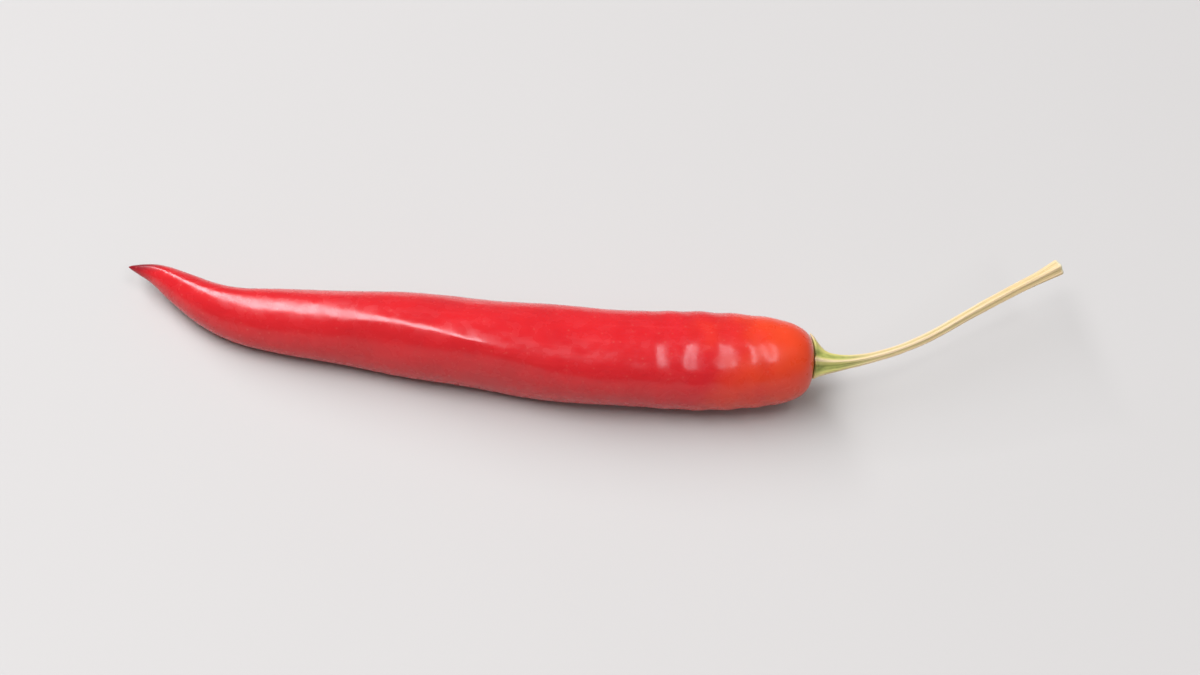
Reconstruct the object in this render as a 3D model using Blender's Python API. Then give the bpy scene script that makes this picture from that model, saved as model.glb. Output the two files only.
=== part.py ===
"""Chili pepper, as picked, lying on a flat surface.

The red pod runs along +X from its tip to its stalk end and bows a little towards -Y. The green calyx sits on
the pod's shoulder and runs on into the stalk. The underside of the pod has a narrow flat spot on the surface.
Each piece is first turned straight along +X, then given its relief, and then carried onto the bent middle line.
"""

import math

import bmesh
import bpy
import numpy as np

# Pod, in metres
POD_LENGTH = 0.1102
BELLY_AT = 0.086
BELLY_RADIUS = 0.0075
TAPER_POWER = 0.66
TIP_FINENESS = 0.25
TIP_REACH = 0.003
SHOULDER_POWER = 3.8
LOBES = 3
LOBE_DEPTH = 0.032
RIDGE_ANGLE = math.radians(95)
RIDGE_TWIST = math.radians(122)
RIDGE_HEIGHT = 0.0004
RIDGE_WIDTH = math.radians(22)
RIDGE_MIDDLE = 0.050
RIDGE_REACH = 0.034
WAVE_HEIGHT = 0.00014
WAVE_LENGTH = 0.023
RELIEF_FADE = 0.5

# Calyx and stalk, in metres
GAP = 0.00042
CALYX_WALL = 0.0007
CALYX_RADIUS = 0.0019
TOOTH_LENGTHS = (0.0026, 0.0011, 0.0009, 0.0013, 0.0010)
TEETH = len(TOOTH_LENGTHS)
TOOTH_ANGLE = math.radians(45)
TOOTH_SHARPNESS = 4
FUNNEL_FADE = 0.0048
FUNNEL_POWER = 1.5
STALK_LENGTH = 0.0445
STALK_RADIUS = 0.00064
STALK_END_RADIUS = 0.00092
END_SWELLING = 0.006
RIB_DEPTH = 0.12
RIM_STEP = 0.0004
END_ROUNDING = 0.3

# Middle line: distance from the tip in metres, heading from +X towards +Y and climb, both in degrees
COURSE = (
    (0.000, -6, 1.0),
    (0.003, -10, 1.5),
    (0.007, -30, 2.0),
    (0.014, -28, 3.0),
    (0.024, -2, 4.5),
    (0.034, 0, 4.0),
    (0.061, -2, 1.2),
    (0.087, 8, 1.0),
    (0.098, 11, 1.0),
    (0.110, 5, 1.0),
    (0.119, 23, 5.0),
    (0.133, 41, 8.0),
    (0.149, 36, 9.0),
    (0.157, 36, 14.0),
)
COURSE_STEP = 0.0002
TIP_HEIGHT = 0.0036

# Facets
POD_SEGMENTS = 48
TAPER_RINGS = 56
TAPER_CROWDING = 1.25
SHOULDER_RINGS = 14
CALYX_SEGMENTS = 40
CUP_RINGS = 4
STALK_RINGS = 30
STALK_CROWDING = 1.6
SLOPE_STEP = 0.00001
MERGE_DISTANCE = 0.000001

COLLECTION = "chili_pepper"


class MiddleLine:
    """The bent line that runs through the pod and the stalk."""

    def __init__(self):
        stations, headings, climbs = np.array(COURSE).T
        self.distance = np.arange(0, stations[-1] + COURSE_STEP, COURSE_STEP)
        self.heading = np.radians(np.interp(self.distance, stations, headings))
        self.climb = np.radians(np.interp(self.distance, stations, climbs))
        steps = self.direction(self.heading, self.climb) * COURSE_STEP
        start = np.array(((0,), (0,), (TIP_HEIGHT,)))
        self.centre = start + np.cumsum(steps, axis=1) - steps[:, :1]

    @staticmethod
    def direction(heading, climb):
        level = np.cos(climb)
        return np.array((np.cos(heading) * level, np.sin(heading) * level, np.sin(climb)))

    def carry(self, distance, radius, angle):
        """Place of a point at a distance along the line, and a radius and angle round it."""
        heading = np.interp(distance, self.distance, self.heading)
        climb = np.interp(distance, self.distance, self.climb)
        along = self.direction(heading, climb)
        side = np.array((-math.sin(heading), math.cos(heading), 0))
        above = np.cross(along, side)
        centre = np.array([np.interp(distance, self.distance, row) for row in self.centre])
        beyond = distance - np.clip(distance, self.distance[0], self.distance[-1])
        return centre + beyond * along + radius * (math.cos(angle) * side + math.sin(angle) * above)


def shoulder_distance(radius):
    """Where the pod's rounded shoulder has this radius."""
    share = 1 - (radius / BELLY_RADIUS) ** SHOULDER_POWER
    return BELLY_AT + (POD_LENGTH - BELLY_AT) * share ** (1 / SHOULDER_POWER)


def shoulder_normal(radius):
    """Outward direction of the shoulder there, along the pod and away from its middle line."""
    fall = (shoulder_distance(radius) - shoulder_distance(radius + SLOPE_STEP)) / SLOPE_STEP
    size = math.hypot(1, fall)
    return 1 / size, fall / size


def pod_profile():
    """Distance and radius of each ring, from the tip to the stalk end."""
    profile = []
    for ring in range(TAPER_RINGS):
        share = (ring / TAPER_RINGS) ** TAPER_CROWDING
        distance = BELLY_AT * share
        fineness = 1 - TIP_FINENESS * math.exp(-distance / TIP_REACH)
        radius = BELLY_RADIUS * (1 - (1 - share) ** 2) ** TAPER_POWER * fineness
        profile.append((distance, radius))
    for ring in range(SHOULDER_RINGS + 1):
        turn = math.pi / 2 * ring / SHOULDER_RINGS
        distance = BELLY_AT + (POD_LENGTH - BELLY_AT) * math.sin(turn) ** (2 / SHOULDER_POWER)
        radius = BELLY_RADIUS * max(math.cos(turn), 0) ** (2 / SHOULDER_POWER)
        profile.append((distance, radius if ring < SHOULDER_RINGS else 0))
    return profile


def pod_relief(distance, radius, angle):
    """Three soft lobes that twist along the pod, a crisper ridge on one of them, and long shallow waves."""
    share = distance / POD_LENGTH
    fade = math.sin(math.pi * min(max(share, 0), 1)) ** RELIEF_FADE
    from_ridge = angle - RIDGE_ANGLE - RIDGE_TWIST * share**2
    lobe = LOBE_DEPTH * fade * math.cos(LOBES * from_ridge) * BELLY_RADIUS
    ridge_fade = max(0, 1 - ((distance - RIDGE_MIDDLE) / RIDGE_REACH) ** 2) ** 2
    across = math.remainder(from_ridge, math.tau) / RIDGE_WIDTH
    ridge = RIDGE_HEIGHT * ridge_fade * math.exp(-(across**2))
    wave = WAVE_HEIGHT * fade * math.sin(math.tau * distance / WAVE_LENGTH + 2 * angle)
    return distance, radius * (1 + (lobe + ridge + wave) / BELLY_RADIUS), angle


def stalk_radius(height):
    """Radius of the calyx funnel and the stalk at a height above the pod's end."""
    funnel = (CALYX_RADIUS - STALK_RADIUS) * math.exp(-((height / FUNNEL_FADE) ** FUNNEL_POWER))
    from_end = max(0, 1 - (STALK_LENGTH - height) / END_SWELLING)
    long_swelling = (STALK_END_RADIUS - STALK_RADIUS) * (height / STALK_LENGTH) ** 2
    return STALK_RADIUS + funnel + long_swelling + (STALK_END_RADIUS - STALK_RADIUS) * from_end**2


def calyx_profile():
    """Height above the pod's end and radius of each ring, from the cup's middle to the cut end."""
    profile = [(GAP, CALYX_RADIUS * ring / CUP_RINGS) for ring in range(CUP_RINGS + 1)]
    profile.append((GAP + CALYX_WALL, CALYX_RADIUS))
    first = GAP + CALYX_WALL + RIM_STEP
    for ring in range(STALK_RINGS + 1):
        height = first + (STALK_LENGTH - first) * (ring / STALK_RINGS) ** STALK_CROWDING
        profile.append((height, stalk_radius(height)))
    end_radius = profile[-1][1]
    rounding = end_radius * END_ROUNDING
    profile.append((STALK_LENGTH + rounding, end_radius - rounding))
    profile.append((STALK_LENGTH + rounding, 0))
    return profile


def tooth_length(angle):
    """Length of the tooth on this side of the calyx."""
    tooth = round((angle - TOOTH_ANGLE) / (math.tau / TEETH))
    return TOOTH_LENGTHS[tooth % TEETH]


def calyx_relief(height, radius, angle):
    """Ribs that run out into pointed teeth, which lie on the pod's shoulder."""
    wall_top = GAP + CALYX_WALL
    above_wall = max(0, height - wall_top)
    crest = math.cos(TEETH * (angle - TOOTH_ANGLE))
    tooth = ((1 + crest) / 2) ** TOOTH_SHARPNESS
    near_rim = (radius / CALYX_RADIUS) ** 2 * math.exp(-above_wall / CALYX_WALL)
    rib = 1 + RIB_DEPTH * crest * min(1, above_wall / CALYX_WALL)
    seat = radius * rib + tooth_length(angle) * tooth * near_rim
    along, outward = shoulder_normal(seat)
    on_shoulder = min(height, wall_top)
    distance = shoulder_distance(seat) + on_shoulder * along + above_wall
    return distance, seat + on_shoulder * outward * near_rim, angle


def turn(profile, segments):
    """A closed straight body turned about +X from a profile that starts and ends on that axis."""
    bm = bmesh.new()
    verts = [bm.verts.new((distance, radius, 0)) for distance, radius in profile]
    edges = [bm.edges.new(pair) for pair in zip(verts, verts[1:])]
    bmesh.ops.spin(
        bm, geom=verts + edges, cent=(0, 0, 0), axis=(1, 0, 0), angle=math.tau, steps=segments, use_merge=True
    )
    bmesh.ops.remove_doubles(bm, verts=bm.verts, dist=MERGE_DISTANCE)
    bmesh.ops.recalc_face_normals(bm, faces=bm.faces)
    return bm


def shape(bm, relief, line):
    """Gives a straight body its relief and carries it onto the middle line."""
    for vert in bm.verts:
        radius = math.hypot(vert.co.y, vert.co.z)
        angle = math.atan2(vert.co.z, vert.co.y)
        vert.co = line.carry(*relief(vert.co.x, radius, angle))


def flatten_underside(bm):
    """Presses what dips below the surface flat onto it."""
    for vert in bm.verts:
        vert.co.z = max(vert.co.z, 0)


def material(name, colour, roughness):
    made = bpy.data.materials.new(name)
    made.use_nodes = True
    shader = made.node_tree.nodes["Principled BSDF"]
    shader.inputs["Base Color"].default_value = (*colour, 1)
    shader.inputs["Roughness"].default_value = roughness
    shader.inputs["Metallic"].default_value = 0
    return made


def add_object(name, bm, collection, finish):
    bmesh.ops.triangulate(bm, faces=bm.faces)
    mesh = bpy.data.meshes.new(name)
    bm.to_mesh(mesh)
    bm.free()
    mesh.shade_smooth()
    mesh.materials.append(finish)
    piece = bpy.data.objects.new(name, mesh)
    collection.objects.link(piece)
    return piece


def centre_on_origin(pieces):
    """Moves the pieces so that the origin is under the middle of their common box."""
    corners = np.array([vert.co for piece in pieces for vert in piece.data.vertices])
    middle = (corners.min(axis=0) + corners.max(axis=0)) / 2
    for piece in pieces:
        for vert in piece.data.vertices:
            vert.co.x -= middle[0]
            vert.co.y -= middle[1]


def main():
    for old in list(bpy.data.objects):
        bpy.data.objects.remove(old)
    collection = bpy.data.collections.new(COLLECTION)
    bpy.context.scene.collection.children.link(collection)
    line = MiddleLine()

    pod = turn(pod_profile(), POD_SEGMENTS)
    shape(pod, pod_relief, line)
    flatten_underside(pod)
    calyx = turn(calyx_profile(), CALYX_SEGMENTS)
    shape(calyx, calyx_relief, line)

    skin = material("pod_skin", (0.60, 0.014, 0.018), 0.28)
    green = material("calyx_green", (0.42, 0.47, 0.13), 0.6)
    pieces = (
        add_object("pod", pod, collection, skin),
        add_object("calyx_stem", calyx, collection, green),
    )
    centre_on_origin(pieces)


main()
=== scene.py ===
"""Slim red chili pepper, as picked: its waxy pod, its toothed calyx with the stalk, and a plain studio stage.

The pod and the calyx repeat the sizes and formulas of the CAD solids with many more faces, and add the fine relief
that the solids leave out. Each is turned straight along +X and then carried onto the bent middle line.
Lengths are in metres. An angle round a piece starts at its +Y side and grows towards the top.
"""

import math

import bmesh
import bpy
import numpy as np
from bpy.props import FloatProperty, FloatVectorProperty, PointerProperty
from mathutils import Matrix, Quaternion, Vector, noise


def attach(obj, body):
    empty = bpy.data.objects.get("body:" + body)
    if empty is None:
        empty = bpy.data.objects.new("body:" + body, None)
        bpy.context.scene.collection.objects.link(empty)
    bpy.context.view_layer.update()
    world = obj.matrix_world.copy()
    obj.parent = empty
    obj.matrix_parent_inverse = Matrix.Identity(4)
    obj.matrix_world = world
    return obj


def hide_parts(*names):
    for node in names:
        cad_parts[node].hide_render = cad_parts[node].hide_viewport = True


bl_info = {
    "name": "Chili pepper",
    "version": (1, 0, 0),
    "blender": (4, 5, 0),
    "location": "View3D > Sidebar > Chili pepper",
    "description": "Builds a slim red chili pepper with its calyx and stalk on a studio floor",
    "category": "Object",
}

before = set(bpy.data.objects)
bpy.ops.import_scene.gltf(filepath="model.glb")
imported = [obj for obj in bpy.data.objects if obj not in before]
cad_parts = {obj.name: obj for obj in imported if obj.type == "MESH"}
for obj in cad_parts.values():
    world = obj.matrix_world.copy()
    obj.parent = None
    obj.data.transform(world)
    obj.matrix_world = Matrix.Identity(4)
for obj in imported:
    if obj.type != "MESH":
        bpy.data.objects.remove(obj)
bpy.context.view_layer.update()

# Pod, as in the CAD source
POD_LENGTH = 0.1102
BELLY_AT = 0.086
BELLY_RADIUS = 0.0075
TAPER_POWER = 0.66
TIP_FINENESS = 0.25
TIP_REACH = 0.003
SHOULDER_POWER = 3.8
LOBES = 3
LOBE_DEPTH = 0.032
RIDGE_ANGLE = math.radians(95)
RIDGE_TWIST = math.radians(122)
RIDGE_HEIGHT = 0.0004
RIDGE_WIDTH = math.radians(22)
RIDGE_MIDDLE = 0.050
RIDGE_REACH = 0.034
WAVE_HEIGHT = 0.00014
WAVE_LENGTH = 0.023
WAVE_TURNS = 2
RELIEF_FADE = 0.5

# Calyx and stalk, as in the CAD source
CALYX_WALL = 0.0007
CALYX_RADIUS = 0.0019
TOOTH_LENGTHS = (0.0026, 0.0011, 0.0009, 0.0013, 0.0010)
TEETH = len(TOOTH_LENGTHS)
TOOTH_ANGLE = math.radians(45)
FUNNEL_FADE = 0.0048
FUNNEL_POWER = 1.5
STALK_LENGTH = 0.0445
STALK_RADIUS = 0.00064
STALK_END_RADIUS = 0.00092
END_SWELLING = 0.006
RIB_DEPTH = 0.12
END_ROUNDING = 0.3

# Middle line, as in the CAD source: distance from the tip in metres, heading and climb in degrees
COURSE = (
    (0.000, -6, 1.0),
    (0.003, -10, 1.5),
    (0.007, -30, 2.0),
    (0.014, -28, 3.0),
    (0.024, -2, 4.5),
    (0.034, 0, 4.0),
    (0.061, -2, 1.2),
    (0.087, 8, 1.0),
    (0.098, 11, 1.0),
    (0.110, 5, 1.0),
    (0.119, 23, 5.0),
    (0.133, 41, 8.0),
    (0.149, 36, 9.0),
    (0.157, 36, 14.0),
)
COURSE_STEP = 0.0002

# Fine relief of the pod
DENT_SIZE = (0.014, 0.006, 0.006)
BUMP_SIZE = (0.0024, 0.0016, 0.0016)
RIPPLE_LENGTH = 0.0047
RIPPLE_START = 0.080
RIPPLE_END = 0.109
RIPPLE_FADE = 0.008
RIPPLE_WANDER = 2.6
RIPPLE_TURNS = 2
RIPPLE_ANGLE = math.radians(144)
CREST_WIDTH = math.radians(8)
CREST_POWER = 1.5
CREST_START = 0.030
CREST_END = 0.074
CREST_FADE = 0.020
FURROW_START = 0.088
PLEATS = 7
PLEAT_WANDER = 3
PLEAT_END = 0.020
FLOOR_SOFTNESS = 0.00015

# Fine relief of the calyx and the stalk
SEAT_GAP = 0.00008
WALL_BULGE = 0.6
TOOTH_SPREAD = math.radians(31)
TOOTH_POINT = 1.35
TOOTH_THINNING = 0.5
SMALL_RIBS = 20
SMALL_RIB_TWIST = 14.0
KNOT_SIZE = (0.0034, 0.0012, 0.0012)
CUT_HOLLOW = 0.00018
CUT_FADE = 0.0003

# Facets
POD_RINGS = 420
POD_SEGMENTS = 176
TAPER_SHARE = 0.74
TAPER_CROWDING = 1.25
SHOULDER_CROWDING = 1.45
CALYX_RINGS = 260
CALYX_SEGMENTS = 160
CUP_SHARE = 0.06
WALL_SHARE = 0.14
STALK_SHARE = 0.92
ROUNDING_SHARE = 0.96
STALK_CROWDING = 1.6
MERGE_DISTANCE = 0.000001

# Attributes that the materials read
GROWN = "grown"
CREST = "crest"

# Where the colours change: distances from the tip for the pod, and from the pod's end for the stalk
ORANGE_START = 0.089
ORANGE_END = 0.110
DRY_TIP_START = -0.001
DRY_TIP_END = 0.006
CREAM_START = 0.003
CREAM_END = 0.011
TAN_START = 0.018
TAN_END = 0.042
CUT_EDGE = 0.0002

# Grains of the skin
BORDER_WANDER = 0.004
BORDER_SIZE = 0.009
PATCH_SIZE = 0.006
STREAK_SIZE = 0.0007
FLECK_SPACING = 0.0013
DULL_SIZE = 0.0018
PIMPLE_SIZE = 0.0014
PIMPLE_HEIGHT = 0.00004
STRAIN_SIZE = 0.0005
STRAIN_HEIGHT = 0.000004

# Grains of the calyx, the stalk and the floor
BLOTCH_SIZE = 0.0015
FIBRE_SIZE = 0.0002
FIBRE_HEIGHT = 0.00003
MOTTLE_SIZE = 0.05

# Stage
CAMERA_PLACE = (0.0058, -0.2933, 0.3251)
CAMERA_AIM = (0.0019, -0.0065, 0.0075)
CAMERA_ROLL = math.radians(7.5)
CAMERA_CLIP = (0.01, 50)
SENSOR_WIDTH = 36
KEY_BOX_PLACE = (-1.30, 0.75, 1.95)
KEY_BOX_SIZE = (0.65, 4.4)
KEY_BOX_TURN = math.radians(19)
FILL_BOX_PLACE = (0.85, -1.00, 1.85)
FILL_BOX_SIZE = (0.40, 2.1)
FILL_BOX_TURN = math.radians(14)
FLOOR_RADIUS = 6
FLOOR_DEPTH = 0.0001
FLOOR_SEGMENTS = 96

# Sockets of the Mix node in its colour mode
MIX_FACTOR = 0
MIX_FIRST = 6
MIX_SECOND = 7
MIX_RESULT = 2


def linear(code):
    """Linear colour of an sRGB hex value."""
    shares = [int(code[i : i + 2], 16) / 255 for i in (1, 3, 5)]
    return tuple(s / 12.92 if s <= 0.04045 else ((s + 0.055) / 1.055) ** 2.4 for s in shares)


def length(name, description, default):
    return FloatProperty(name=name, description=description, default=default, unit="LENGTH", precision=5)


def colour(name, description, code):
    return FloatVectorProperty(
        name=name, description=description, default=linear(code), size=3, min=0, max=1, subtype="COLOR"
    )


class PodLook(bpy.types.PropertyGroup):
    """Fine relief and colours of the pod."""

    dent_height: length("Dent height", "Height of the broad soft unevenness", 0.00009)
    bump_height: length("Bump height", "Height of the small waxy bumps", 0.00003)
    ripple_height: length("Ripple height", "Height of the ripples across the thick end", 0.000065)
    crest_height: length("Crest height", "Height of the thin crest on the ridge", 0.00010)
    furrow_depth: length("Furrow depth", "Depth of the furrows that run out from the calyx", 0.00010)
    pleat_height: length("Pleat height", "Height of the pleats that gather towards the tip", 0.00004)
    red: colour("Red", "Ripe skin", "#C51D22")
    deep_red: colour("Deep red", "Ripest patches of the skin", "#B01019")
    light_red: colour("Light red", "Stretched, lighter streaks of the skin", "#CF2D2F")
    orange: colour("Orange", "Skin round the calyx, which ripens last", "#DA3F1A")
    tip_red: colour("Tip red", "Dry skin at the very tip", "#7C101B")
    fleck: colour("Fleck", "Tiny pale flecks in the skin", "#D87060")


class CalyxLook(bpy.types.PropertyGroup):
    """Fine relief and colours of the calyx and the stalk."""

    small_rib_height: length("Small rib height", "Height of the small ribs between the main ribs", 0.000022)
    knot_height: length("Knot height", "Height of the uneven thickness along the stalk", 0.000045)
    green: colour("Green", "Calyx between its ribs", "#A2A656")
    deep_green: colour("Deep green", "Valleys and the shaded rim", "#6D7439")
    yellow: colour("Yellow", "Funnel of the calyx, where it is lightest", "#BEB76B")
    cream: colour("Cream", "Crests of the ribs", "#DBC39B")
    stalk_green: colour("Stalk green", "Valleys along the stalk", "#C2AF7B")
    tan: colour("Tan", "Dry fibre towards the stalk's end", "#D4B886")
    cut: colour("Cut", "Pale pith of the cut end", "#D4CBA9")


class StageLook(bpy.types.PropertyGroup):
    """Floor, light and lens."""

    floor: colour("Floor", "Matte studio floor", "#B7B4AE")
    mottle: colour("Mottle", "Faint clouds in the paint of the floor", "#B0ADA7")
    air: colour("Air", "Light from all round", "#F3F5FA")
    air_strength: FloatProperty(name="Air strength", description="Strength of the light from all round", default=0.23)
    key_power: FloatProperty(
        name="Key power", description="Power of the soft box above the tip", default=132.0, unit="POWER"
    )
    fill_power: FloatProperty(
        name="Fill power", description="Power of the soft box above the stalk", default=19.0, unit="POWER"
    )
    lamp: colour("Lamp", "Daylight of the soft boxes", "#F6F7FF")
    lens: FloatProperty(name="Lens", description="Focal length", default=82.9, unit="CAMERA")


class MiddleLine:
    """The bent line that runs through the pod and the stalk, from the CAD pod's tip."""

    def __init__(self):
        stations, headings, climbs = np.array(COURSE).T
        self.distance = np.arange(0, stations[-1] + COURSE_STEP, COURSE_STEP)
        self.heading = np.radians(np.interp(self.distance, stations, headings))
        self.climb = np.radians(np.interp(self.distance, stations, climbs))
        steps = self.direction(self.heading, self.climb) * COURSE_STEP
        places = (vert.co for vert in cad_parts["pod"].data.vertices)
        tip = np.array(min(places, key=lambda place: place.x)).reshape(3, 1)
        self.centre = tip + np.cumsum(steps, axis=1) - steps[:, :1]

    @staticmethod
    def direction(heading, climb):
        level = np.cos(climb)
        return np.array((np.cos(heading) * level, np.sin(heading) * level, np.sin(climb)))

    def carry(self, distance, radius, angle):
        """Places of points at distances along the line, with their radii and angles round it."""
        heading = np.interp(distance, self.distance, self.heading)
        climb = np.interp(distance, self.distance, self.climb)
        along = self.direction(heading, climb)
        side = np.array((-np.sin(heading), np.cos(heading), 0 * heading))
        above = np.cross(along, side, axis=0)
        centre = np.array([np.interp(distance, self.distance, row) for row in self.centre])
        beyond = distance - np.clip(distance, self.distance[0], self.distance[-1])
        return (centre + beyond * along + radius * (np.cos(angle) * side + np.sin(angle) * above)).T


def ease(value, start, end):
    """Rises smoothly from 0 at the start to 1 at the end."""
    share = np.clip((value - start) / (end - start), 0, 1)
    return share**2 * (3 - 2 * share)


def between(value, start, end, fade):
    """1 between the start and the end, and fading to 0 at both."""
    return ease(value, start, start + fade) * (1 - ease(value, end - fade, end))


def unevenness(straight, size):
    """Smooth noise from -1 to 1, with bumps of this size along each axis."""
    return np.array([noise.noise(place) for place in (straight / size).tolist()])


def round_places(distance, radius, angle):
    """Places on the straight body, before it is bent."""
    return np.array((distance, radius * np.cos(angle), radius * np.sin(angle))).T


def shoulder_distance(radius):
    """Where the pod's rounded shoulder has this radius."""
    share = 1 - (radius / BELLY_RADIUS) ** SHOULDER_POWER
    return BELLY_AT + (POD_LENGTH - BELLY_AT) * share ** (1 / SHOULDER_POWER)


def shoulder_normal(radius):
    """Outward direction of the shoulder there, along the pod and away from its middle line."""
    step = 0.00001
    fall = (shoulder_distance(radius) - shoulder_distance(radius + step)) / step
    size = np.hypot(1, fall)
    return 1 / size, fall / size


def pod_profile(share):
    """Distance and radius of the pod's outline, from the tip at 0 to the stalk end at 1."""
    if share < TAPER_SHARE:
        taper = (share / TAPER_SHARE) ** TAPER_CROWDING
        distance = BELLY_AT * taper
        fineness = 1 - TIP_FINENESS * math.exp(-distance / TIP_REACH)
        return distance, BELLY_RADIUS * (1 - (1 - taper) ** 2) ** TAPER_POWER * fineness
    turn = math.pi / 2 * ((share - TAPER_SHARE) / (1 - TAPER_SHARE)) ** SHOULDER_CROWDING
    distance = BELLY_AT + (POD_LENGTH - BELLY_AT) * math.sin(turn) ** (2 / SHOULDER_POWER)
    radius = BELLY_RADIUS * max(math.cos(turn), 0) ** (2 / SHOULDER_POWER)
    return distance, radius if share < 1 else 0


def ridge_offset(distance, angle):
    """Angle from the ridge, which twists along the pod."""
    offset = angle - RIDGE_ANGLE - RIDGE_TWIST * (distance / POD_LENGTH) ** 2
    return np.remainder(offset + math.pi, math.tau) - math.pi


def pod_relief(distance, radius, angle, look):
    """The solid's lobes, ridge and waves, and on them the fine relief of the skin."""
    fade = np.sin(math.pi * np.clip(distance / POD_LENGTH, 0, 1)) ** RELIEF_FADE
    offset = ridge_offset(distance, angle)
    relief = LOBE_DEPTH * BELLY_RADIUS * fade * np.cos(LOBES * offset)
    ridge_fade = np.maximum(0, 1 - ((distance - RIDGE_MIDDLE) / RIDGE_REACH) ** 2) ** 2
    relief += RIDGE_HEIGHT * ridge_fade * np.exp(-((offset / RIDGE_WIDTH) ** 2))
    relief += WAVE_HEIGHT * fade * np.sin(math.tau * distance / WAVE_LENGTH + WAVE_TURNS * angle)

    straight = round_places(distance, radius, angle)
    dents = unevenness(straight, DENT_SIZE)
    relief += look.dent_height * fade * dents
    relief += look.bump_height * fade * unevenness(straight, BUMP_SIZE)
    slant = RIPPLE_TURNS * (angle - RIPPLE_ANGLE)
    ripple = np.sin(math.tau * distance / RIPPLE_LENGTH + RIPPLE_WANDER * dents - slant)
    relief += look.ripple_height * between(distance, RIPPLE_START, RIPPLE_END, RIPPLE_FADE) * ripple
    crest = np.exp(-np.abs(offset / CREST_WIDTH) ** CREST_POWER)
    relief += look.crest_height * between(distance, CREST_START, CREST_END, CREST_FADE) * crest
    furrow = np.cos(TEETH * (angle - TOOTH_ANGLE))
    relief += look.furrow_depth * ease(distance, FURROW_START, POD_LENGTH) * fade * furrow
    pleat = np.cos(PLEATS * offset + PLEAT_WANDER * dents)
    relief += look.pleat_height * between(distance, 0, PLEAT_END, PLEAT_END / 2) * pleat
    return distance, radius * (1 + relief / BELLY_RADIUS), angle


def press_underside(places):
    """Presses what dips below the surface softly onto it."""
    height = places[:, 2]
    places[:, 2] = (height + np.sqrt(height**2 + FLOOR_SOFTNESS**2)) / 2


def stalk_radius(height):
    """Radius of the calyx funnel and the stalk at a height above the pod's end."""
    funnel = (CALYX_RADIUS - STALK_RADIUS) * math.exp(-((height / FUNNEL_FADE) ** FUNNEL_POWER))
    from_end = max(0, 1 - (STALK_LENGTH - height) / END_SWELLING)
    long_swelling = (STALK_END_RADIUS - STALK_RADIUS) * (height / STALK_LENGTH) ** 2
    return STALK_RADIUS + funnel + long_swelling + (STALK_END_RADIUS - STALK_RADIUS) * from_end**2


def calyx_profile(share):
    """Height above the pod and radius of the outline: the cup, its rounded wall, the stalk and the cut end."""
    top = SEAT_GAP + CALYX_WALL
    if share < CUP_SHARE:
        return SEAT_GAP, CALYX_RADIUS * share / CUP_SHARE
    if share < WALL_SHARE:
        turn = math.pi * ((share - CUP_SHARE) / (WALL_SHARE - CUP_SHARE) - 0.5)
        bulge = CALYX_WALL / 2 * (math.cos(turn) - 1) * WALL_BULGE
        return SEAT_GAP + CALYX_WALL * (1 + math.sin(turn)) / 2, CALYX_RADIUS + bulge
    if share < STALK_SHARE:
        climb = ((share - WALL_SHARE) / (STALK_SHARE - WALL_SHARE)) ** STALK_CROWDING
        height = top + (STALK_LENGTH - top) * climb
        return height, stalk_radius(height)
    end = stalk_radius(STALK_LENGTH)
    rounding = end * END_ROUNDING
    if share < ROUNDING_SHARE:
        turn = math.pi / 2 * (share - STALK_SHARE) / (ROUNDING_SHARE - STALK_SHARE)
        return STALK_LENGTH + rounding * math.sin(turn), end - rounding * (1 - math.cos(turn))
    inward = (share - ROUNDING_SHARE) / (1 - ROUNDING_SHARE)
    hollow = CUT_HOLLOW * math.sin(math.pi / 2 * inward) ** 2
    return STALK_LENGTH + rounding - hollow, (end - rounding) * (1 - inward)


def calyx_relief(height, radius, angle, look):
    """Main ribs that run out into pointed teeth on the pod's shoulder, and small ribs between them."""
    top = SEAT_GAP + CALYX_WALL
    above = np.maximum(0, height - top)
    crest = np.cos(TEETH * (angle - TOOTH_ANGLE))
    pitch = math.tau / TEETH
    number = np.rint((angle - TOOTH_ANGLE) / pitch)
    from_tooth = np.abs(angle - TOOTH_ANGLE - pitch * number)
    tooth = np.maximum(0, 1 - from_tooth / TOOTH_SPREAD) ** TOOTH_POINT
    tooth_length = np.take(TOOTH_LENGTHS, number.astype(int) % TEETH)
    near_rim = (radius / CALYX_RADIUS) ** 2 * np.exp(-above / CALYX_WALL)
    rib = 1 + RIB_DEPTH * crest * np.minimum(1, above / CALYX_WALL)
    seat = radius * rib + tooth_length * tooth * near_rim

    straight = round_places(height, radius, angle)
    fine = look.small_rib_height * np.cos(SMALL_RIBS * angle + SMALL_RIB_TWIST * height / STALK_LENGTH)
    fine += look.knot_height * unevenness(straight, KNOT_SIZE)
    fine *= ease(height, top, top + 2 * CALYX_WALL) * (1 - ease(height, STALK_LENGTH, STALK_LENGTH + CUT_FADE))
    seat += fine

    along, outward = shoulder_normal(seat)
    on_shoulder = np.minimum(height, top)
    lift = SEAT_GAP + (on_shoulder - SEAT_GAP) * (1 - TOOTH_THINNING * tooth * near_rim)
    distance = shoulder_distance(seat) + lift * along + above
    return distance, seat + lift * outward * near_rim, angle


def turned(profile, rings, segments):
    """A closed straight body: a line is cut into rings, set on the profile and spun once round +X."""
    bm = bmesh.new()
    ends = [bm.verts.new((share, 0, 0)) for share in (0, 1)]
    bm.edges.new(ends)
    bmesh.ops.subdivide_edges(bm, edges=bm.edges[:], cuts=rings - 1)
    for vert in bm.verts:
        distance, radius = profile(vert.co.x)
        vert.co = (distance, radius, 0)
    bmesh.ops.spin(
        bm,
        geom=bm.verts[:] + bm.edges[:],
        cent=(0, 0, 0),
        axis=(1, 0, 0),
        angle=math.tau,
        steps=segments,
        use_merge=True,
    )
    bmesh.ops.remove_doubles(bm, verts=bm.verts, dist=MERGE_DISTANCE)
    bmesh.ops.recalc_face_normals(bm, faces=bm.faces)
    return bm


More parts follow.
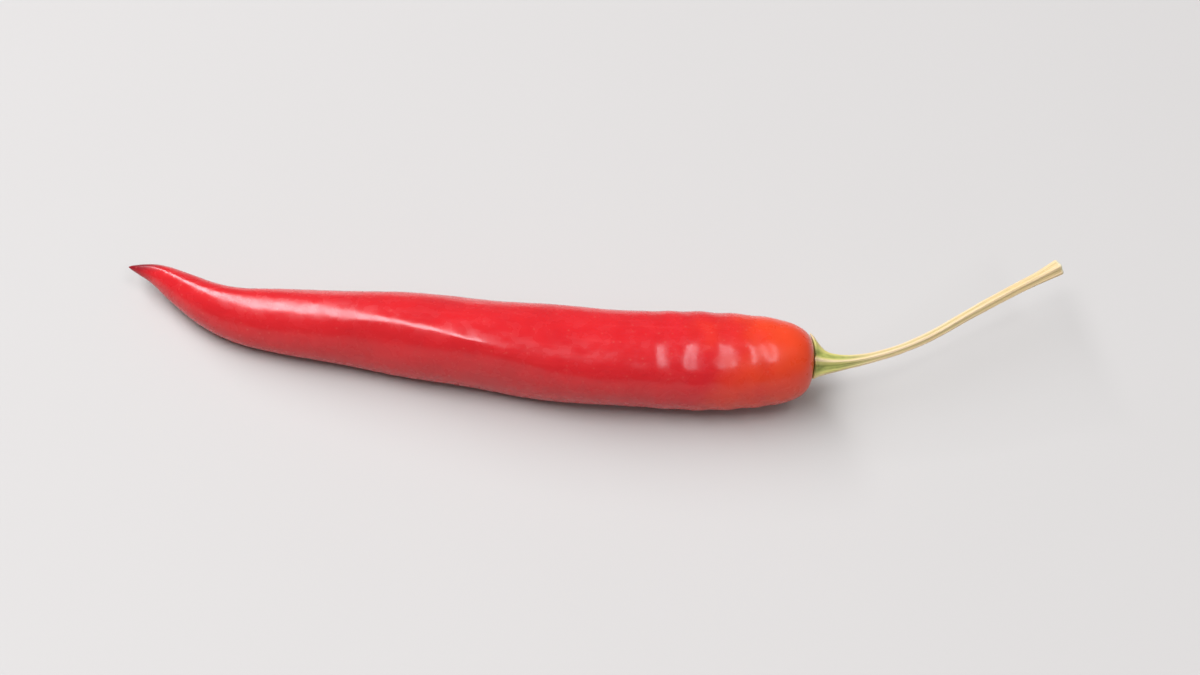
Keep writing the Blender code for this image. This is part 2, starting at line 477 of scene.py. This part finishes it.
def finished(name, bm):
    """A smooth mesh object from a bmesh."""
    mesh = bpy.data.meshes.new(name)
    bm.to_mesh(mesh)
    bm.free()
    mesh.shade_smooth()
    piece = bpy.data.objects.new(name, mesh)
    bpy.context.scene.collection.objects.link(piece)
    return piece


def round_coordinates(mesh):
    """Distance, radius and angle of each vertex of a straight body."""
    flat = np.empty(len(mesh.vertices) * 3)
    mesh.vertices.foreach_get("co", flat)
    x, y, z = flat.reshape(-1, 3).T
    return x, np.hypot(y, z), np.arctan2(z, y)


def place(mesh, places):
    mesh.vertices.foreach_set("co", places.ravel())
    mesh.update()


def mark(mesh, name, kind, field, values):
    """Gives the mesh an attribute with one value a vertex."""
    mesh.attributes.new(name, kind, "POINT").data.foreach_set(field, values.ravel())


def add_node(tree, kind, settings, inputs):
    """Adds a node. An input given as a socket is linked, and any other is set."""
    node = tree.nodes.new(kind)
    for name, value in settings.items():
        setattr(node, name, value)
    for name, value in inputs.items():
        if isinstance(value, bpy.types.NodeSocket):
            tree.links.new(value, node.inputs[name])
        else:
            node.inputs[name].default_value = value
    return node


def new_material(name):
    """A material with its tree and its shader."""
    material = bpy.data.materials.new(name)
    material.use_nodes = True
    tree = material.node_tree
    return material, tree, tree.nodes["Principled BSDF"]


def blend(tree, factor, first, second):
    """Colour between two, each a socket or a plain colour."""
    colours = {
        key: value if isinstance(value, bpy.types.NodeSocket) else (*value, 1)
        for key, value in ((MIX_FIRST, first), (MIX_SECOND, second))
    }
    mix = add_node(tree, "ShaderNodeMix", {"data_type": "RGBA"}, {MIX_FACTOR: factor, **colours})
    return mix.outputs[MIX_RESULT]


def limits(tree, value, start, end, low=0.0, high=1.0):
    """Turns a value between the start and the end smoothly into one between the low and the high."""
    settings = {"interpolation_type": "SMOOTHSTEP"}
    inputs = {"Value": value, "From Min": start, "From Max": end, "To Min": low, "To Max": high}
    return add_node(tree, "ShaderNodeMapRange", settings, inputs).outputs["Result"]


def grain(tree, vector, size, detail=2.0, stretch=(1, 1, 1)):
    """Noise from 0 to 1 whose grains are this size in metres, longer along an axis with a smaller stretch."""
    mapping = add_node(tree, "ShaderNodeMapping", {}, {"Vector": vector, "Scale": stretch})
    inputs = {"Vector": mapping.outputs["Vector"], "Scale": 1 / size, "Detail": detail}
    return add_node(tree, "ShaderNodeTexNoise", {}, inputs).outputs["Fac"]


def ripe_chili_skin(look):
    """Ripe chili skin: a thin clear wax over taut red flesh, which gives a soft gloss and broken highlights."""
    material, tree, shader = new_material("ripe_chili_skin")
    grown = add_node(tree, "ShaderNodeAttribute", {"attribute_name": GROWN}, {}).outputs["Vector"]
    along = add_node(tree, "ShaderNodeSeparateXYZ", {}, {"Vector": grown}).outputs["X"]

    # The borders between the colours wander by a few millimetres
    wander = limits(tree, grain(tree, grown, BORDER_SIZE), 0.3, 0.7, -BORDER_WANDER, BORDER_WANDER)
    wandering = add_node(tree, "ShaderNodeMath", {"operation": "ADD"}, {0: along, 1: wander}).outputs["Value"]
    shoulder = limits(tree, wandering, ORANGE_START, ORANGE_END)
    tip = limits(tree, wandering, DRY_TIP_END, DRY_TIP_START)

    # Ripe patches, lighter lengthwise streaks and tiny flecks
    patches = limits(tree, grain(tree, grown, PATCH_SIZE, 2), 0.35, 0.75, 0, 0.35)
    streaks = limits(tree, grain(tree, grown, STREAK_SIZE, 3, (0.07, 1, 1)), 0.5, 0.75, 0, 0.3)
    cells = add_node(tree, "ShaderNodeTexVoronoi", {}, {"Vector": grown, "Scale": 1 / FLECK_SPACING})
    flecks = limits(tree, cells.outputs["Distance"], 0.17, 0.05, 0, 0.22)

    base = blend(tree, patches, look.red, look.deep_red)
    base = blend(tree, streaks, base, look.light_red)
    base = blend(tree, shoulder, base, look.orange)
    base = blend(tree, tip, base, look.tip_red)
    base = blend(tree, flecks, base, look.fleck)
    tree.links.new(base, shader.inputs["Base Color"])

    # The wax is thinner and duller in small patches, and near the calyx
    dull = limits(tree, grain(tree, grown, DULL_SIZE, 2, (0.8, 1, 1)), 0.3, 0.74, 0.17, 0.35)
    inputs = {0: shoulder, 1: 0.08, 2: dull}
    roughness = add_node(tree, "ShaderNodeMath", {"operation": "MULTIPLY_ADD"}, inputs).outputs["Value"]
    tree.links.new(roughness, shader.inputs["Roughness"])
    shader.inputs["IOR"].default_value = 1.4
    shader.inputs["Coat Weight"].default_value = 0.25
    shader.inputs["Coat Roughness"].default_value = 0.16
    shader.inputs["Coat IOR"].default_value = 1.45
    shader.inputs["Subsurface Weight"].default_value = 0.12
    shader.inputs["Subsurface Radius"].default_value = (1.0, 0.18, 0.1)
    shader.inputs["Subsurface Scale"].default_value = 0.0012

    # Low pimples, and lower strain lines that run lengthwise
    pimples = grain(tree, grown, PIMPLE_SIZE, 2)
    strain = grain(tree, grown, STRAIN_SIZE, 1, (0.06, 1, 1))
    inputs = {"Height": pimples, "Strength": 0.7, "Distance": PIMPLE_HEIGHT}
    pimpled = add_node(tree, "ShaderNodeBump", {}, inputs).outputs["Normal"]
    inputs = {"Height": strain, "Strength": 0.3, "Distance": STRAIN_HEIGHT, "Normal": pimpled}
    tree.links.new(add_node(tree, "ShaderNodeBump", {}, inputs).outputs["Normal"], shader.inputs["Normal"])
    return material


def green_stalk_fibre(look):
    """Fresh calyx and stalk: matte ribbed fibre, pale on the crests and green in the valleys."""
    material, tree, shader = new_material("green_stalk_fibre")
    grown = add_node(tree, "ShaderNodeAttribute", {"attribute_name": GROWN}, {}).outputs["Vector"]
    crest = add_node(tree, "ShaderNodeAttribute", {"attribute_name": CREST}, {}).outputs["Fac"]
    along = add_node(tree, "ShaderNodeSeparateXYZ", {}, {"Vector": grown}).outputs["X"]

    # Blotches, fibres that run lengthwise, and how far along the stalk each point is
    blotches = grain(tree, grown, BLOTCH_SIZE, 3, (0.5, 1, 1))
    fibres = grain(tree, grown, FIBRE_SIZE, 2, (0.05, 1, 1))
    on_stalk = limits(tree, along, POD_LENGTH + CREAM_START, POD_LENGTH + CREAM_END)
    dry = limits(tree, along, POD_LENGTH + TAN_START, POD_LENGTH + TAN_END)
    stalk_end = POD_LENGTH + STALK_LENGTH
    cut = limits(tree, along, stalk_end - CUT_EDGE, stalk_end + CUT_EDGE)

    valley = blend(tree, limits(tree, blotches, 0.4, 0.65, 0, 0.7), look.green, look.deep_green)
    calyx = blend(tree, limits(tree, crest, 0.15, 0.75), valley, look.yellow)
    calyx = blend(tree, limits(tree, crest, 0.8, 1.0, 0, 0.8), calyx, look.cream)
    stalk = blend(tree, limits(tree, crest, 0.2, 0.7), look.stalk_green, look.cream)
    stalk = blend(tree, limits(tree, blotches, 0.45, 0.7, 0, 0.5), stalk, look.tan)
    base = blend(tree, on_stalk, calyx, stalk)
    base = blend(tree, limits(tree, dry, 0, 1, 0, 0.5), base, look.tan)
    base = blend(tree, limits(tree, fibres, 0.5, 0.75, 0, 0.12), base, look.deep_green)
    base = blend(tree, cut, base, look.cut)
    tree.links.new(base, shader.inputs["Base Color"])

    tree.links.new(limits(tree, blotches, 0.3, 0.7, 0.45, 0.62), shader.inputs["Roughness"])
    shader.inputs["IOR"].default_value = 1.4
    shader.inputs["Subsurface Weight"].default_value = 0.08
    shader.inputs["Subsurface Radius"].default_value = (0.8, 0.9, 0.3)
    shader.inputs["Subsurface Scale"].default_value = 0.0006

    inputs = {"Height": fibres, "Strength": 0.6, "Distance": FIBRE_HEIGHT}
    tree.links.new(add_node(tree, "ShaderNodeBump", {}, inputs).outputs["Normal"], shader.inputs["Normal"])
    return material


def studio_floor(look):
    """Studio floor: matte painted board, plain and pale, with the faintest mottle."""
    material, tree, shader = new_material("studio_floor_paint")
    where = add_node(tree, "ShaderNodeTexCoord", {}, {}).outputs["Object"]
    mottle = limits(tree, grain(tree, where, MOTTLE_SIZE), 0.3, 0.7, 0, 0.06)
    tree.links.new(blend(tree, mottle, look.floor, look.mottle), shader.inputs["Base Color"])
    shader.inputs["Roughness"].default_value = 0.8
    return material


class CHILI_OT_pod(bpy.types.Operator):
    """Builds the pod with the fine relief of its skin"""

    bl_idname = "chili.pod"
    bl_label = "Pod"

    def execute(self, context):
        look = context.scene.chili_pod
        piece = finished("pod_skin", turned(pod_profile, POD_RINGS, POD_SEGMENTS))
        bent = pod_relief(*round_coordinates(piece.data), look)
        mark(piece.data, GROWN, "FLOAT_VECTOR", "vector", round_places(*bent))
        places = MiddleLine().carry(*bent)
        press_underside(places)
        place(piece.data, places)
        piece.data.materials.append(ripe_chili_skin(look))
        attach(piece, "root")
        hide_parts("pod")
        return {"FINISHED"}


class CHILI_OT_calyx(bpy.types.Operator):
    """Builds the toothed calyx and the stalk that has grown with it"""

    bl_idname = "chili.calyx"
    bl_label = "Calyx and stalk"

    def execute(self, context):
        look = context.scene.chili_calyx
        piece = finished("calyx_and_stalk", turned(calyx_profile, CALYX_RINGS, CALYX_SEGMENTS))
        height, radius, angle = round_coordinates(piece.data)
        bent = calyx_relief(height, radius, angle, look)
        mark(piece.data, GROWN, "FLOAT_VECTOR", "vector", round_places(*bent))
        mark(piece.data, CREST, "FLOAT", "value", (1 + np.cos(TEETH * (angle - TOOTH_ANGLE))) / 2)
        place(piece.data, MiddleLine().carry(*bent))
        piece.data.materials.append(green_stalk_fibre(look))
        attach(piece, "root")
        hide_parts("calyx_stem")
        return {"FINISHED"}


class CHILI_OT_stage(bpy.types.Operator):
    """Adds the pale floor, the soft light and the camera"""

    bl_idname = "chili.stage"
    bl_label = "Stage"

    def execute(self, context):
        look = context.scene.chili_stage
        self.add_floor(look)
        self.add_light(context.scene, look)
        self.add_camera(context.scene, look)
        context.scene.view_settings.view_transform = "Standard"
        return {"FINISHED"}

    def add_floor(self, look):
        bm = bmesh.new()
        bmesh.ops.create_circle(bm, cap_ends=True, segments=FLOOR_SEGMENTS, radius=FLOOR_RADIUS)
        bmesh.ops.translate(bm, verts=bm.verts, vec=(0, 0, -FLOOR_DEPTH))
        floor = finished("floor", bm)
        floor.data.materials.append(studio_floor(look))

    def add_light(self, scene, look):
        world = bpy.data.worlds.new("air")
        world.use_nodes = True
        background = world.node_tree.nodes["Background"]
        background.inputs["Color"].default_value = (*look.air, 1)
        background.inputs["Strength"].default_value = look.air_strength
        scene.world = world

        for name, spot, turn, size, power in (
            ("key_box", KEY_BOX_PLACE, KEY_BOX_TURN, KEY_BOX_SIZE, look.key_power),
            ("fill_box", FILL_BOX_PLACE, FILL_BOX_TURN, FILL_BOX_SIZE, look.fill_power),
        ):
            data = bpy.data.lights.new(name, "AREA")
            data.shape = "RECTANGLE"
            data.size, data.size_y = size
            data.energy = power
            data.color = look.lamp
            box = bpy.data.objects.new(name, data)
            box.location = spot
            box.rotation_euler.z = turn
            scene.collection.objects.link(box)

    def add_camera(self, scene, look):
        data = bpy.data.cameras.new("camera")
        data.sensor_width = SENSOR_WIDTH
        data.lens = look.lens
        data.clip_start, data.clip_end = CAMERA_CLIP
        camera = bpy.data.objects.new("camera", data)
        aim = Vector(CAMERA_AIM) - Vector(CAMERA_PLACE)
        camera.location = CAMERA_PLACE
        camera.rotation_mode = "QUATERNION"
        camera.rotation_quaternion = aim.to_track_quat("-Z", "Y") @ Quaternion((0, 0, 1), CAMERA_ROLL)
        scene.collection.objects.link(camera)
        scene.camera = camera


class CHILI_PT_parts(bpy.types.Panel):
    """Lists the pieces and their looks"""

    bl_idname = "CHILI_PT_parts"
    bl_label = "Chili pepper"
    bl_space_type = "VIEW_3D"
    bl_region_type = "UI"
    bl_category = "Chili pepper"

    def draw(self, context):
        for operator, look in OPERATORS.items():
            box = self.layout.box()
            box.operator(operator.bl_idname)
            group = getattr(context.scene, look)
            for name in group.bl_rna.properties.keys():
                if name not in ("rna_type", "name"):
                    box.prop(group, name)


LOOKS = {"chili_pod": PodLook, "chili_calyx": CalyxLook, "chili_stage": StageLook}
OPERATORS = {CHILI_OT_pod: "chili_pod", CHILI_OT_calyx: "chili_calyx", CHILI_OT_stage: "chili_stage"}
CLASSES = (*LOOKS.values(), *OPERATORS, CHILI_PT_parts)


def register():
    for cls in CLASSES:
        bpy.utils.register_class(cls)
    for name, group in LOOKS.items():
        setattr(bpy.types.Scene, name, PointerProperty(type=group))


def unregister():
    for name in LOOKS:
        delattr(bpy.types.Scene, name)
    for cls in reversed(CLASSES):
        bpy.utils.unregister_class(cls)


def main():
    register()
    bpy.ops.chili.pod()
    bpy.ops.chili.calyx()
    bpy.ops.chili.stage()


if __name__ == "__main__":
    main()
